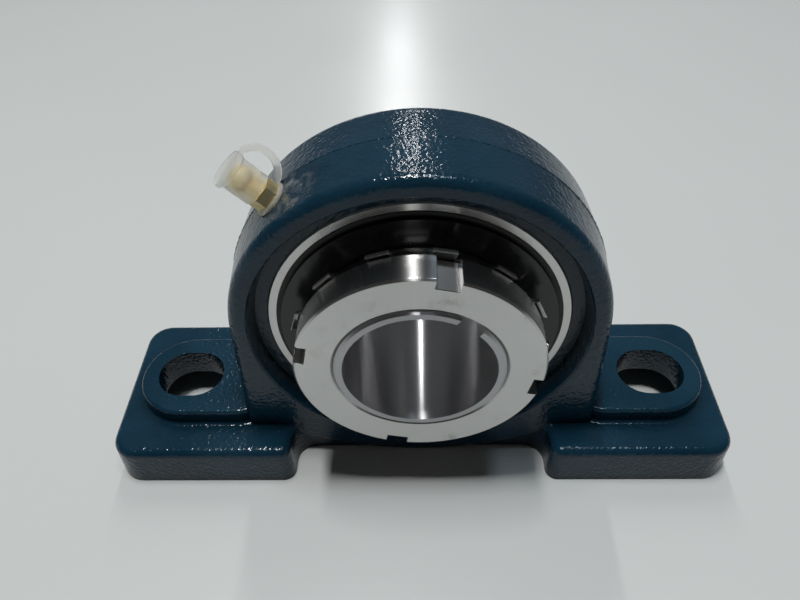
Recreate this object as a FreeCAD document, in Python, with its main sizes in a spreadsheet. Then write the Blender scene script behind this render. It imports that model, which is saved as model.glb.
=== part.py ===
import FreeCAD, Part
import math
import os
import re
import Sketcher

# Pillow block bearing with an adapter sleeve, in millimetres.
# The origin is the bearing's centre on the shaft axis. +Y runs along the shaft, away from the
# lock nut, +Z is up, and +X points right for someone who faces the nut.
# The walls add up from the shaft outwards, so that each piece follows the one that it sits on. They
# give an outer ring of 85 mm, a barrel of 104 mm and a centre height of 54 mm.

SIZES = (
    # shaft and adapter sleeve
    ("shaft_dia", 40.0, "bore of the adapter sleeve"),
    ("sleeve_wall", 2.5, "sleeve from its bore to the top of its thread"),
    ("sleeve_length", 50.0, "adapter sleeve, end to end"),
    ("sleeve_proud", 0.45, "sleeve past the lock nut's front face"),
    ("thread_depth", 0.6, "depth of the thread, where nut and sleeve meet halfway"),
    ("taper_ratio", 12.0, "axial length for one unit of diameter"),
    ("sleeve_slot_width", 7.0, "saw cut along the sleeve"),
    ("sleeve_slot_angle", 36.0, "saw cut, degrees clockwise from the top"),
    ("sleeve_edge", 0.6, "edge break at both ends of the sleeve"),
    ("taper_gap", 0.06, "gap between the sleeve's cone and the inner ring"),
    ("press_gap", 0.01, "gap between pieces pressed or wedged together"),
    # inner ring, balls and outer ring
    ("inner_ring_width", 31.0, "inner ring, end to end"),
    ("inner_ring_wall", 3.63, "inner ring from its narrow bore to the bottom of its groove"),
    ("inner_groove_depth", 2.27, "raceway groove of the inner ring"),
    ("ball_dia", 12.7, "ball"),
    ("ball_count", 9.0, "balls in the row"),
    ("race_radius", 6.6, "radius of both raceway grooves"),
    ("race_gap", 0.02, "play between ball and raceway"),
    ("outer_groove_depth", 2.37, "raceway groove of the outer ring"),
    ("outer_ring_wall", 3.63, "outer ring from the bottom of its groove to its sphere"),
    ("outer_ring_width", 22.0, "outer ring, face to face"),
    ("outer_ring_chamfer", 0.4, "corner of the outer ring"),
    ("seal_recess_step", 1.5, "recess for the seal, beyond the outer ring's shoulder"),
    ("seal_recess_depth", 2.6, "depth of that recess, which stops short of the cage"),
    ("seal_cage_gap", 0.1, "least gap between seal and cage"),
    ("ring_hole_dia", 2.0, "grease hole in the outer ring"),
    ("ring_chamfer", 0.5, "corners of the inner ring"),
    # cage
    ("cage_sheet", 0.8, "sheet thickness of the pressed cage"),
    ("cage_width", 4.6, "radial width of the cage"),
    ("pocket_gap", 0.1, "play between ball and pocket"),
    ("rivet_dia", 2.0, "rivet shank"),
    ("rivet_head_dia", 3.6, "rivet head"),
    ("rivet_head_top_dia", 2.4, "flat top of the rivet head"),
    ("rivet_head_height", 0.7, "rivet head"),
    # seals and slingers
    ("seal_thickness", 1.4, "rubber seal with its steel core"),
    ("seal_lip_width", 0.98, "seal lip along the inner ring"),
    ("seal_lip_overhang", 0.84, "seal lip past the seal's outer face"),
    ("seal_lip_height", 2.1, "inner side of the seal's lip, above the inner ring"),
    ("seal_lip_shoulder", 2.8, "outer side of the seal's lip, above the inner ring"),
    ("lip_gap", 0.3, "gap under the seal lip"),
    ("slinger_overlap", 0.8, "slinger plate beyond the outer ring's shoulder"),
    ("slinger_thickness", 1.0, "slinger plate"),
    ("slinger_gap", 0.6, "gap between slinger and outer ring face"),
    ("slinger_hub", 2.0, "length of the slinger's hub along the shaft"),
    ("slinger_hub_wall", 1.2, "wall of the slinger's hub"),
    # lock washer
    ("washer_thickness", 1.25, "sheet thickness of the lock washer"),
    ("washer_rim_step", 0.5, "roots of the washer's tabs, beyond the nut's back face"),
    ("washer_bore_gap", 0.1, "gap between washer bore and thread"),
    ("tab_count", 13.0, "tabs round the washer"),
    ("tab_width", 6.0, "tab"),
    ("tab_length", 6.0, "tab, along its slope"),
    ("tab_slope", 28.0, "tabs lean towards the nut, degrees"),
    ("tab_angle", 10.5, "first tab, degrees clockwise from the top"),
    ("key_depth", 1.9, "tongue that reaches into the sleeve's saw cut"),
    ("key_side_gap", 0.2, "gap on each side of the tongue"),
    # lock nut
    ("nut_wall", 10.0, "lock nut from the top of the thread to its outside"),
    ("nut_thickness", 11.0, "lock nut"),
    ("nut_back_step", 4.5, "chamfer on the washer side, in radius"),
    ("nut_back_chamfer", 2.6, "that chamfer, along the shaft"),
    ("nut_edge", 0.5, "edge break on the front face"),
    ("nut_bore_chamfer", 0.8, "countersink of the threaded bore"),
    ("nut_slot_count", 4.0, "spanner slots"),
    ("nut_slot_width", 6.0, "spanner slot"),
    ("nut_slot_depth", 3.0, "spanner slot"),
    ("nut_slot_angle", 12.25, "first slot, degrees clockwise from the top"),
    # housing: barrel and bore
    ("barrel_wall", 9.47, "barrel over the spherical seat, at the parting line"),
    ("barrel_overhang", 5.0, "barrel past the outer ring's faces"),
    ("barrel_round", 3.0, "outer edges of the barrel and of the webs"),
    ("casting_draft", 3.6, "draft of the casting, degrees"),
    ("seat_gap", 0.03, "play between outer ring and spherical seat"),
    ("seat_setback", 0.5, "outer ring past the edges of its seat"),
    ("bore_edge", 0.5, "edge break at the mouth of the bore"),
    ("counterbore_room", 3.3, "counterbore round the outer ring, at the faces"),
    ("counterbore_floor_room", 2.0, "counterbore round the outer ring, at its shoulder"),
    ("grease_groove_width", 4.0, "groove in the spherical seat"),
    ("grease_groove_depth", 1.2, "groove in the spherical seat"),
    ("grease_groove_place", 6.0, "groove, in front of the centre"),
    ("notch_gap", 0.6, "loading notch over the ring's width"),
    # housing: webs
    ("web_setback", 1.5, "foot roots behind the barrel's faces"),
    ("web_flare", 2.4, "webs where they meet the feet, beyond the barrel"),
    ("web_overlap", 2.2, "webs below the feet's tops, inside the feet"),
    ("apron_radius", 81.0, "arched underside between the feet"),
    ("apron_overlap", 3.0, "arch inside the feet"),
    ("apron_round", 1.0, "front and rear edges of the arch"),
    ("underside_gap", 0.3, "underside of the casting above the base"),
    # housing: feet
    ("bolt_spacing", 146.0, "between the bolt slots"),
    ("foot_reach", 21.5, "foot past the bolt's centre"),
    ("base_depth", 54.0, "feet, front to back"),
    ("base_drop", 2.0, "base below the barrel"),
    ("foot_height", 14.2, "foot above the base"),
    ("foot_gap", 78.0, "clear length between the feet"),
    ("foot_corner", 8.0, "outer corners of the feet, in plan"),
    ("foot_inner_corner", 3.5, "inner corners of the feet, in plan"),
    ("foot_root", 6.0, "hollow corner between foot and web, in plan"),
    ("foot_root_rest", 0.5, "least straight side between that corner and the inner corner"),
    ("foot_round", 2.5, "top edges of the feet"),
    ("foot_draft", 2.0, "draft of the feet, degrees"),
    ("slot_length", 20.8, "bolt slot"),
    ("slot_width", 17.5, "bolt slot"),
    ("pad_rise", 5.4, "raised pad above the foot"),
    ("pad_width", 32.0, "raised pad, front to back"),
    ("pad_reach", 16.5, "raised pad past the bolt's centre"),
    ("pad_round", 1.2, "top edge of the raised pad"),
    ("pad_root", 1.0, "hollow edge round the raised pad"),
    ("core_height", 10.0, "hollow under each foot, above the base"),
    ("core_wall", 5.5, "wall round that hollow"),
    ("core_inner_wall", 10.0, "wall at that hollow's inner end"),
    ("core_corner", 4.0, "corners of that hollow"),
    # grease fitting with its cap
    ("fitting_angle", -44.0, "grease fitting, degrees clockwise from the top"),
    ("fitting_place", 4.0, "grease fitting, in front of the centre"),
    ("spot_face_dia", 11.0, "spot face under the fitting"),
    ("spot_face_depth", 0.35, "spot face below the barrel's surface"),
    ("shank_dia", 5.4, "fitting's threaded shank"),
    ("shank_length", 5.0, "fitting's threaded shank"),
    ("shank_gap", 0.05, "gap round the shank"),
    ("hex_width", 7.0, "hexagon, across its flats"),
    ("hex_height", 3.2, "hexagon"),
    ("neck_dia", 4.6, "fitting's neck"),
    ("head_dia", 6.4, "fitting's ball head"),
    ("head_place", 5.4, "centre of the head above the hexagon"),
    ("head_flat", 2.7, "flat top above the head's centre"),
    ("mouth_dia", 1.6, "grease mouth"),
    ("mouth_length", 0.5, "grease mouth above its cone"),
    ("chamber_dia", 3.2, "bore for ball and spring"),
    ("check_ball_dia", 2.7, "check ball"),
    ("check_gap", 0.03, "gap between check ball and its seat"),
    ("spring_wire", 0.36, "wire of the valve spring"),
    ("spring_dia", 2.2, "valve spring, middle of the wire"),
    ("spring_pitch", 1.1, "valve spring"),
    ("spring_length", 5.5, "valve spring"),
    ("cap_gap", 0.1, "gap between cap and head"),
    ("cap_wall", 0.9, "wall of the dust cap"),
    ("cap_flange_dia", 9.8, "flange at the cap's closed end"),
    ("cap_flange_height", 1.4, "that flange"),
    ("cap_edge", 0.3, "edge break of the flange"),
    ("cap_start", 0.4, "cap above the hexagon"),
    ("cap_top_gap", 0.5, "room between the head and the cap's end"),
    ("strap_thickness", 0.8, "strap and its ring"),
    ("strap_width", 1.9, "strap, across"),
    ("strap_radius", 5.9, "middle of the strap's loop"),
    ("strap_place", 2.9, "loop's centre beside the fitting's axis"),
    ("strap_ring_wall", 2.0, "ring of the strap, under the hexagon"),
    ("strap_clearance", 0.3, "loop above the barrel"),
    ("strap_root", 0.6, "overlap of loop and ring"),
    ("strap_root_rise", 0.2, "underside of the loop above the ring's, where they join"),
    ("strap_turn_angle", 35.5, "strap's plane about the fitting's axis, degrees"),
    ("strap_start_angle", -62.0, "lower end of the loop, degrees"),
    ("strap_end_angle", 58.0, "upper end of the loop, degrees"),
)

ALIASES = {alias for alias, number, note in SIZES}

# An arc whose centre is nearer than this to its chord is a half circle.
HALF_TURN_RISE = 0.01
# How far a measured place may lie from the worked out one when edges are looked up.
EDGE_SLACK = 0.01

doc = FreeCAD.newDocument("pillow_block_bearing")
sheet = doc.addObject("Spreadsheet::Sheet", "sizes")
for row, (alias, number, note) in enumerate(SIZES, start=1):
    sheet.set(f"A{row}", note)
    sheet.set(f"B{row}", str(number))
    sheet.setAlias(f"B{row}", alias)
doc.recompute()

# Places and sizes worked out from the sheet. Each is text for an expression.

THREAD_R = "(shaft_dia / 2 + sleeve_wall)"
THREAD_FIT_R = f"({THREAD_R} - thread_depth / 2)"
BALL_PLAY_R = "(ball_dia / 2 + race_gap)"
INNER_RACE_R = f"({THREAD_R} + inner_ring_wall)"
INNER_R = f"({INNER_RACE_R} + inner_groove_depth)"
PITCH_R = f"({INNER_RACE_R} + {BALL_PLAY_R})"
OUTER_RACE_R = f"({PITCH_R} + {BALL_PLAY_R})"
OUTER_SHOULDER_R = f"({OUTER_RACE_R} - outer_groove_depth)"
OUTER_R = f"({OUTER_RACE_R} + outer_ring_wall)"
SEAL_R = f"({OUTER_SHOULDER_R} + seal_recess_step)"
OUTER_GROOVE_HALF = "sqrt(race_radius ^ 2 - (race_radius - outer_groove_depth) ^ 2)"
INNER_GROOVE_HALF = "sqrt(race_radius ^ 2 - (race_radius - inner_groove_depth) ^ 2)"
INNER_HALF = "(inner_ring_width / 2)"
OUTER_HALF = "(outer_ring_width / 2)"
POCKET_R = "(ball_dia / 2 + pocket_gap)"
CAGE_OUTER_R = f"({PITCH_R} + cage_width / 2)"
CAGE_INNER_R = f"({PITCH_R} - cage_width / 2)"
CAGE_REACH = f"({POCKET_R} + cage_sheet)"
SEAL_BACK = f"max({OUTER_HALF} - seal_recess_depth; {CAGE_REACH} + seal_cage_gap)"
SLINGER_BACK = f"({OUTER_HALF} + slinger_gap)"
SLINGER_R = f"({OUTER_SHOULDER_R} + slinger_overlap)"

# Along the shaft, in front of the centre: washer, nut and the sleeve's threaded end.
WASHER_BACK = INNER_HALF
WASHER_FRONT = f"({WASHER_BACK} + washer_thickness)"
WASHER_BORE_R = f"({THREAD_R} + washer_bore_gap)"
NUT_FRONT = f"({WASHER_FRONT} + nut_thickness)"
NUT_R = f"({THREAD_R} + nut_wall)"
NUT_BACK_R = f"({NUT_R} - nut_back_step)"
WASHER_RIM_R = f"({NUT_BACK_R} + washer_rim_step)"
SLEEVE_FRONT = f"({NUT_FRONT} + sleeve_proud)"
SLEEVE_REAR = f"(sleeve_length - {SLEEVE_FRONT})"

# The housing. Its base lies below the origin, and its feet are mirrored about the centre.
SEAT_R = f"({OUTER_R} + seat_gap)"
SEAT_HALF = f"({OUTER_HALF} - seat_setback)"
BARREL_R = f"({SEAT_R} + barrel_wall)"
BARREL_HALF = f"({OUTER_HALF} + barrel_overhang)"
BARREL_FACE_R = f"({BARREL_R} - {BARREL_HALF} * tan(casting_draft))"
COUNTERBORE_R = f"({OUTER_R} + counterbore_room)"
COUNTERBORE_FLOOR_R = f"({OUTER_R} + counterbore_floor_room)"
BASE = f"(-{BARREL_R} - base_drop)"
UNDERSIDE = f"({BASE} + underside_gap)"
WEB_HALF = f"({BARREL_HALF} - web_setback)"
WEB_FOOT_X = f"({BARREL_R} + web_flare)"
FOOT_INNER_X = "(foot_gap / 2)"
FOOT_OUTER_X = "(bolt_spacing / 2 + foot_reach)"
FOOT_HALF = "(base_depth / 2)"
FOOT_ROOT = f"min(foot_root; {FOOT_HALF} - {WEB_HALF} - foot_inner_corner - foot_root_rest)"
FOOT_TOP = f"({BASE} + foot_height)"
WEB_LOW = f"({FOOT_TOP} - web_overlap)"
APRON_HALF = f"({FOOT_INNER_X} + apron_overlap)"
APRON_LOW = f"({UNDERSIDE} + apron_radius - sqrt(apron_radius ^ 2 - {APRON_HALF} ^ 2))"
PAD_HALF = "(pad_width / 2)"
PAD_OUTER_X = "(bolt_spacing / 2 + pad_reach)"
PAD_TOP = f"({FOOT_TOP} + pad_rise)"

# Places along the grease fitting, measured out from the shaft axis.
FITTING_SEAT = f"({BARREL_R} - fitting_place * tan(casting_draft) - spot_face_depth)"
HEX_BOTTOM = f"({FITTING_SEAT} + strap_thickness)"
HEX_TOP = f"({HEX_BOTTOM} + hex_height)"
HEAD_CENTRE = f"({HEX_TOP} + head_place)"
HEAD_TOP = f"({HEAD_CENTRE} + head_flat)"
SHANK_END = f"({FITTING_SEAT} - shank_length)"
VALVE_SEAT = f"({HEAD_TOP} - mouth_length - chamber_dia / 2 + mouth_dia / 2)"
CHECK_BALL_PLACE = f"({VALVE_SEAT} + chamber_dia / 2 - sqrt(2) * (check_ball_dia / 2 + check_gap))"
SPRING_START = f"({CHECK_BALL_PLACE} - check_ball_dia / 2 - spring_length)"
SPRING_SEAT = f"({SPRING_START} - spring_wire / 2 - press_gap)"
CAP_START = f"({HEX_TOP} + cap_start)"
CAP_CEILING = f"({HEAD_TOP} + cap_top_gap)"
CAP_END = f"({CAP_CEILING} + cap_wall)"
CAP_BORE_R = "(head_dia / 2 + cap_gap)"
CAP_OUTER_R = f"({CAP_BORE_R} + cap_wall)"


def expression(text):
    """The text with each size pointed at its cell."""
    return re.sub(r"[a-z_]+", lambda word: f"sizes.{word.group()}" if word.group() in ALIASES
                  else word.group(), text)


def value(text):
    """The number that an expression gives now."""
    return float(sheet.evalExpression(expression(text)))


def bind(item, prop, text):
    item.setExpression(prop, expression(text))


def new_body(label):
    body = doc.addObject("PartDesign::Body", label)
    body.Label = label
    return body


def origin_item(body, role):
    return next(item for item in body.Origin.OriginFeatures if item.Role == role)


def new_sketch(body, name, role):
    sketch = body.newObject("Sketcher::SketchObject", f"{body.Label}_{name}")
    sketch.AttachmentSupport = (origin_item(body, role), [""])
    sketch.MapMode = "FlatFace"
    return sketch


def hold_point(sketch, geometry, point, u_text, v_text):
    """Ties a point of a sketch to the two expressions, measured from the origin."""
    for kind, text, axis in (("DistanceX", u_text, -2), ("DistanceY", v_text, -1)):
        if text == "0":
            sketch.addConstraint(Sketcher.Constraint("PointOnObject", geometry, point, axis))
            continue
        index = sketch.addConstraint(Sketcher.Constraint(kind, -1, 1, geometry, point, value(text)))
        bind(sketch, f"Constraints[{index}]", text)


def outline(sketch, corners):
    """A closed outline. A corner is (u, v) or (u, v, radius, turn): then the side that leaves it is
    an arc of that radius, which turns left (+1) or right (-1). A half circle stands on an upright
    chord, whose length gives its radius."""
    points = [FreeCAD.Vector(value(corner[0]), value(corner[1]), 0) for corner in corners]
    sides = []
    for place, corner in enumerate(corners):
        start = points[place]
        end = points[(place + 1) % len(points)]
        if len(corner) == 2:
            geometry = sketch.addGeometry(Part.LineSegment(start, end), False)
            sides.append((geometry, 1, 2))
            continue
        radius = value(corner[2])
        chord = end - start
        rise = math.sqrt(max(radius ** 2 - chord.Length ** 2 / 4, 0))
        left = FreeCAD.Vector(-chord.y, chord.x, 0).normalize()
        centre = (start + end) * 0.5 + left * (rise * corner[3])
        first, last = (start, end) if corner[3] > 0 else (end, start)
        angles = [math.atan2(point.y - centre.y, point.x - centre.x) for point in (first, last)]
        circle = Part.Circle(centre, FreeCAD.Vector(0, 0, 1), radius)
        geometry = sketch.addGeometry(Part.ArcOfCircle(circle, *angles), False)
        sides.append((geometry, 1, 2) if corner[3] > 0 else (geometry, 2, 1))
        if rise < HALF_TURN_RISE:
            sketch.addConstraint(Sketcher.Constraint("Vertical", geometry, 3, *sides[-1][:2]))
            continue
        index = sketch.addConstraint(Sketcher.Constraint("Radius", geometry, radius))
        bind(sketch, f"Constraints[{index}]", corner[2])
    for place, corner in enumerate(corners):
        geometry, start_point, end_point = sides[place]
        before, before_start, before_end = sides[place - 1]
        sketch.addConstraint(Sketcher.Constraint("Coincident", before, before_end, geometry, start_point))
        hold_point(sketch, geometry, start_point, corner[0], corner[1])


def rectangle(sketch, u_low, v_low, u_high, v_high):
    outline(sketch, ((u_low, v_low), (u_high, v_low), (u_high, v_high), (u_low, v_high)))


def circle_at(sketch, u_text, v_text, radius_text):
    centre = FreeCAD.Vector(value(u_text), value(v_text), 0)
    geometry = sketch.addGeometry(Part.Circle(centre, FreeCAD.Vector(0, 0, 1), value(radius_text)), False)
    index = sketch.addConstraint(Sketcher.Constraint("Radius", geometry, value(radius_text)))
    bind(sketch, f"Constraints[{index}]", radius_text)
    hold_point(sketch, geometry, 3, u_text, v_text)


def rounded_slot(sketch, centre_text, length_text, width_text):
    """A slot with full round ends, long along U."""
    reach = f"({length_text} - {width_text}) / 2"
    radius = f"{width_text} / 2"
    outline(sketch, (
        (f"{centre_text} - {reach}", f"-({radius})"),
        (f"{centre_text} + {reach}", f"-({radius})", radius, 1),
        (f"{centre_text} + {reach}", radius),
        (f"{centre_text} - {reach}", radius, radius, 1),
    ))


def turned(body, name, corners, plane="YZ_Plane", axis="H_Axis", cut=False):
    """Turns an outline of (place along the shaft, radius) about the shaft axis."""
    sketch = new_sketch(body, name, plane)
    outline(sketch, corners)
    kind = "PartDesign::Groove" if cut else "PartDesign::Revolution"
    feature = body.newObject(kind, f"{body.Label}_{name}_turned")
    feature.Profile = sketch
    feature.ReferenceAxis = (sketch, [axis])
    feature.Angle = 360
    return feature


def turned_upright(body, name, corners):
    """Turns an outline of (radius, height) about the body's own Z axis."""
    return turned(body, name, corners, plane="XZ_Plane", axis="V_Axis")


def padded(body, sketch, name, length_text, symmetric=False, draft_text=None):
    feature = body.newObject("PartDesign::Pad", f"{body.Label}_{name}")
    feature.Profile = sketch
    bind(feature, "Length", length_text)
    feature.Midplane = symmetric
    if draft_text:
        bind(feature, "TaperAngle", f"-({draft_text})")
    return feature


def pocketed(body, sketch, name, length_text, symmetric=False, back=False):
    feature = body.newObject("PartDesign::Pocket", f"{body.Label}_{name}")
    feature.Profile = sketch
    bind(feature, "Length", length_text)
    feature.Midplane = symmetric
    feature.Reversed = back
    return feature


def patterned(body, feature, name, count_text):
    """Copies a feature round the shaft axis."""
    pattern = body.newObject("PartDesign::PolarPattern", f"{body.Label}_{name}")
    pattern.Originals = [feature]
    pattern.Axis = (origin_item(body, "Y_Axis"), [""])
    pattern.Angle = 360
    bind(pattern, "Occurrences", count_text)
    body.Tip = pattern
    return pattern


def rounded(body, name, radius_text, wanted):
    """Rounds the edges of the body's last feature that the test wants."""
    doc.recompute()
    base = body.Tip
    names = [f"Edge{place}" for place, edge in enumerate(base.Shape.Edges, start=1) if wanted(edge)]
    feature = body.newObject("PartDesign::Fillet", f"{body.Label}_{name}")
    feature.Base = (base, names)
    bind(feature, "Radius", radius_text)
    return feature


def near(low, high, place):
    """True where both ends of a range lie at the place."""
    return abs(low - place) < EDGE_SLACK and abs(high - place) < EDGE_SLACK


def at_height(edge, height):
    return near(edge.BoundBox.ZMin, edge.BoundBox.ZMax, height)


def on_faces(edge, half):
    """True where the whole edge lies so far in front of the centre, or so far behind it."""
    box = edge.BoundBox
    return near(box.YMin, box.YMax, half) or near(box.YMin, box.YMax, -half)


def within(edge, low_x, high_x, high_y):
    """True where the edge lies between two distances from the centre, and not too far forward or back."""
    box = edge.BoundBox
    nearest = min(abs(box.XMin), abs(box.XMax))
    farthest = max(abs(box.XMin), abs(box.XMax))
    depth = max(abs(box.YMin), abs(box.YMax))
    return (box.XMin * box.XMax > 0 and nearest > low_x - EDGE_SLACK and farthest < high_x + EDGE_SLACK
            and depth < high_y + EDGE_SLACK)


def mirrored_if(side, text):
    return text if side > 0 else f"-({text})"


def outer_ring():
    body = new_body("outer_ring")
    corner_r = f"sqrt({OUTER_R} ^ 2 - ({OUTER_HALF} - outer_ring_chamfer) ^ 2)"
    turned(body, "section", (
        (f"-{OUTER_HALF}", SEAL_R),
        (f"-{OUTER_HALF}", f"{corner_r} - outer_ring_chamfer"),
        (f"-({OUTER_HALF} - outer_ring_chamfer)", corner_r, OUTER_R, -1),
        (f"{OUTER_HALF} - outer_ring_chamfer", corner_r),
        (OUTER_HALF, f"{corner_r} - outer_ring_chamfer"),
        (OUTER_HALF, SEAL_R),
        (SEAL_BACK, SEAL_R),
        (SEAL_BACK, OUTER_SHOULDER_R),
        (OUTER_GROOVE_HALF, OUTER_SHOULDER_R, "race_radius", 1),
        (f"-({OUTER_GROOVE_HALF})", OUTER_SHOULDER_R),
        (f"-{SEAL_BACK}", OUTER_SHOULDER_R),
        (f"-{SEAL_BACK}", SEAL_R),
    ))
    hole = new_sketch(body, "grease_hole", "XY_Plane")
    circle_at(hole, "0", f"-({OUTER_GROOVE_HALF} + {SEAL_BACK}) / 2", "ring_hole_dia / 2")
    pocketed(body, hole, "grease_hole_cut", f"2 * {OUTER_R}", back=True)
    return body


def inner_ring():
    body = new_body("inner_ring")
    small_r = THREAD_R
    large_r = f"({THREAD_R} + inner_ring_width / taper_ratio / 2)"
    turned(body, "section", (
        (f"-{INNER_HALF}", f"{small_r} + ring_chamfer"),
        (f"-{INNER_HALF}", f"{INNER_R} - ring_chamfer"),
        (f"-{INNER_HALF} + ring_chamfer", INNER_R),
        (f"-({INNER_GROOVE_HALF})", INNER_R, "race_radius", 1),
        (INNER_GROOVE_HALF, INNER_R),
        (f"{INNER_HALF} - ring_chamfer", INNER_R),
        (INNER_HALF, f"{INNER_R} - ring_chamfer"),
        (INNER_HALF, large_r),
        (f"-{INNER_HALF} + ring_chamfer", f"{small_r} + ring_chamfer / taper_ratio / 2"),
    ))
    return body


def ball(number):
    item = doc.addObject("Part::Sphere", f"ball_{number}")
    item.Label = f"ball_{number}"
    bind(item, "Radius", "ball_dia / 2")
    turn = f"(360 / ball_count * {number - 1})"
    bind(item, "Placement.Base.x", f"{PITCH_R} * sin{turn}")
    bind(item, "Placement.Base.z", f"{PITCH_R} * cos{turn}")
    return item


def front_sketch(body, name, place_text="0", turn_text="0"):
    """A sketch that faces the front, so many millimetres before the centre, turned clockwise."""
    sketch = new_sketch(body, name, "XZ_Plane")
    forward = FreeCAD.Vector(0, 0, value(place_text))
    turn = FreeCAD.Rotation(FreeCAD.Vector(0, 0, 1), -value(turn_text))
    sketch.AttachmentOffset = FreeCAD.Placement(forward, turn)
    if place_text != "0":
        bind(sketch, "AttachmentOffset.Base.z", place_text)
    if turn_text != "0":
        bind(sketch, "AttachmentOffset.Rotation.Angle", f"-({turn_text})")
    return sketch


def ball_solid(body, name, kind, radius_text):
    """A sphere at the top of the pitch circle, added to the body or cut from it."""
    sphere = body.newObject(f"PartDesign::{kind}Sphere", f"{body.Label}_{name}")
    sphere.AttachmentSupport = (origin_item(body, "XY_Plane"), [""])
    sphere.MapMode = "FlatFace"
    bind(sphere, "AttachmentOffset.Base.z", PITCH_R)
    bind(sphere, "Radius", radius_text)
    return sphere


def cage_half(label, side):
    """One pressed half: a flat ribbon with a bowl over each ball, trimmed to the ribbon's width."""
    body = new_body(label)
    turned(body, "ribbon", (
        ("0", CAGE_INNER_R),
        (mirrored_if(side, "cage_sheet"), CAGE_INNER_R),
        (mirrored_if(side, "cage_sheet"), CAGE_OUTER_R),
        ("0", CAGE_OUTER_R),
    ))
    bowl = ball_solid(body, "bowl", "Additive", CAGE_REACH)
    patterned(body, bowl, "bowls", "ball_count")
    for name, low, high in (("outer_trim", CAGE_OUTER_R, f"{CAGE_OUTER_R} + ball_dia"),
                            ("inner_trim", f"{CAGE_INNER_R} - ball_dia", CAGE_INNER_R)):
        turned(body, name, (("-ball_dia", low), ("ball_dia", low), ("ball_dia", high),
                            ("-ball_dia", high)), cut=True)
    far_half = front_sketch(body, "far_half")
    circle_at(far_half, "0", "0", f"2 * {PITCH_R}")
    pocketed(body, far_half, "far_half_cut", "ball_dia", back=side > 0)
    pocket = ball_solid(body, "pocket", "Subtractive", POCKET_R)
    patterned(body, pocket, "pockets", "ball_count")
    hole = front_sketch(body, "rivet_hole")
    between = "(180 / ball_count)"
    circle_at(hole, f"{PITCH_R} * sin{between}", f"{PITCH_R} * cos{between}",
              "rivet_dia / 2 + press_gap")
    hole_cut = pocketed(body, hole, "rivet_hole_cut", "ball_dia", symmetric=True)
    patterned(body, hole_cut, "rivet_holes", "ball_count")
    return body


def cage_rivets():
    """Rivets between the balls, each a separate solid of one group."""
    body = new_body("cage_rivets")
    body.AllowCompound = True
    sketch = new_sketch(body, "section", "YZ_Plane")
    head = "(cage_sheet + rivet_head_height)"
    outline(sketch, (
        (f"-{head}", PITCH_R),
        (head, PITCH_R),
        (head, f"{PITCH_R} + rivet_head_top_dia / 2"),
        ("cage_sheet", f"{PITCH_R} + rivet_head_dia / 2"),
        ("cage_sheet", f"{PITCH_R} + rivet_dia / 2"),
        ("-cage_sheet", f"{PITCH_R} + rivet_dia / 2"),
        ("-cage_sheet", f"{PITCH_R} + rivet_head_dia / 2"),
        (f"-{head}", f"{PITCH_R} + rivet_head_top_dia / 2"),
    ))
    rivet = body.newObject("PartDesign::Revolution", "cage_rivets_rivet")
    rivet.Profile = sketch
    rivet.ReferenceAxis = (sketch, ["Edge1"])
    rivet.Angle = 360
    patterned(body, rivet, "copies", "ball_count")
    turn_with(body, "180 / ball_count")
    return body


def seal(label, side):
    """Steel-cored rubber disc, seated in the outer ring, with a lip over the inner ring."""
    body = new_body(label)
    rim = f"{SEAL_R} - press_gap"
    face = f"({SEAL_BACK} + seal_thickness)"
    lip = f"{INNER_R} + lip_gap"
    turned(body, "section", (
        (mirrored_if(side, SEAL_BACK), rim),
        (mirrored_if(side, face), rim),
        (mirrored_if(side, face), f"{INNER_R} + seal_lip_shoulder"),
        (mirrored_if(side, f"{face} + seal_lip_overhang"), lip),
        (mirrored_if(side, f"{face} + seal_lip_overhang - seal_lip_width"), lip),
        (mirrored_if(side, SEAL_BACK), f"{INNER_R} + seal_lip_height"),
    ))
    return body


def slinger(label, side):
    """Pressed plate on the inner ring, with a short hub that points away from the balls."""
    body = new_body(label)
    hub_r = f"({INNER_R} + slinger_hub_wall)"
    turned(body, "section", (
        (mirrored_if(side, SLINGER_BACK), f"{INNER_R} + press_gap"),
        (mirrored_if(side, f"{SLINGER_BACK} + slinger_hub"), f"{INNER_R} + press_gap"),
        (mirrored_if(side, f"{SLINGER_BACK} + slinger_hub"), hub_r),
        (mirrored_if(side, f"{SLINGER_BACK} + slinger_thickness"), hub_r),
        (mirrored_if(side, f"{SLINGER_BACK} + slinger_thickness"), SLINGER_R),
        (mirrored_if(side, SLINGER_BACK), SLINGER_R),
    ))
    return body


def adapter_sleeve():
    body = new_body("adapter_sleeve")
    cone_small = f"({THREAD_R} - taper_gap)"
    cone_large = f"({cone_small} + ({SLEEVE_REAR} + {INNER_HALF}) / taper_ratio / 2)"
    turned(body, "section", (
        (f"-{SLEEVE_FRONT}", "shaft_dia / 2"),
        (SLEEVE_REAR, "shaft_dia / 2"),
        (SLEEVE_REAR, f"{cone_large} - sleeve_edge"),
        (f"{SLEEVE_REAR} - sleeve_edge", cone_large),
        (f"-{INNER_HALF}", cone_small),
        (f"-{INNER_HALF}", THREAD_FIT_R),
        (f"-{SLEEVE_FRONT} + sleeve_edge", THREAD_FIT_R),
        (f"-{SLEEVE_FRONT}", f"{THREAD_FIT_R} - sleeve_edge"),
    ))
    cut = front_sketch(body, "saw_cut", turn_text="sleeve_slot_angle")
    rectangle(cut, "-sleeve_slot_width / 2", "shaft_dia / 4", "sleeve_slot_width / 2", f"2 * {THREAD_R}")
    pocketed(body, cut, "saw_cut_cut", "2 * sleeve_length", symmetric=True)
    return body


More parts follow.
